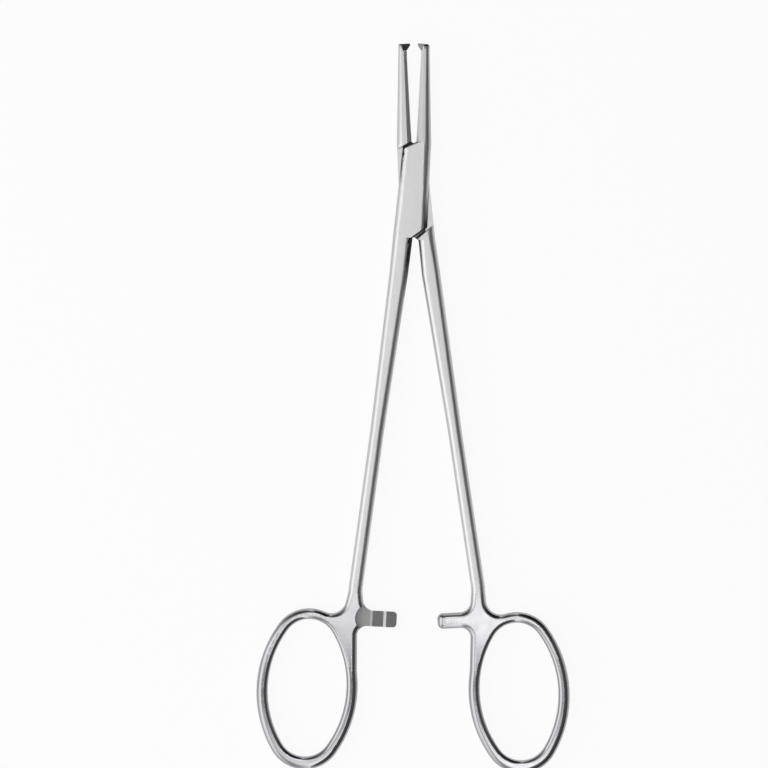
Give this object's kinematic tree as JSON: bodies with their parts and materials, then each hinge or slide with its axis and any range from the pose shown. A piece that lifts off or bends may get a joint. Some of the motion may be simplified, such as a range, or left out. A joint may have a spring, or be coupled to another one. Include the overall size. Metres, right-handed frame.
{
  "type": "mosquito forceps",
  "caption": "Long fine ring-handled clamping forceps with a box lock, a ratchet and toothed, cross-serrated jaws, lying open a little.",
  "frame": {"origin": "on the pivot pin's axis, in the lower face of the box lock", "axes": "+Y towards the jaw tips, midway between the two levers; +Z along the pivot pin, up from the face it lies on; +X towards the tongue half's finger ring"},
  "size_m": [0.0774, 0.1802, 0.005],
  "materials": {
    "satin_steel": "satin ground flats, polished edges and rings",
    "pin_steel": "ground flush and satin"
  },
  "bodies": {
    "box_lever": {"box_half": "satin_steel", "pivot_pin": "pin_steel"},
    "tongue_lever": {"tongue_half": "satin_steel"}
  },
  "joints": [
    {"name": "box_lock_hinge", "type": "hinge", "parent": "box_lever", "child": "tongue_lever", "pos_m": [0, 0, 0.0025], "axis": [0, 0, 1], "range_deg": [-5.8, 45]}
  ]
}
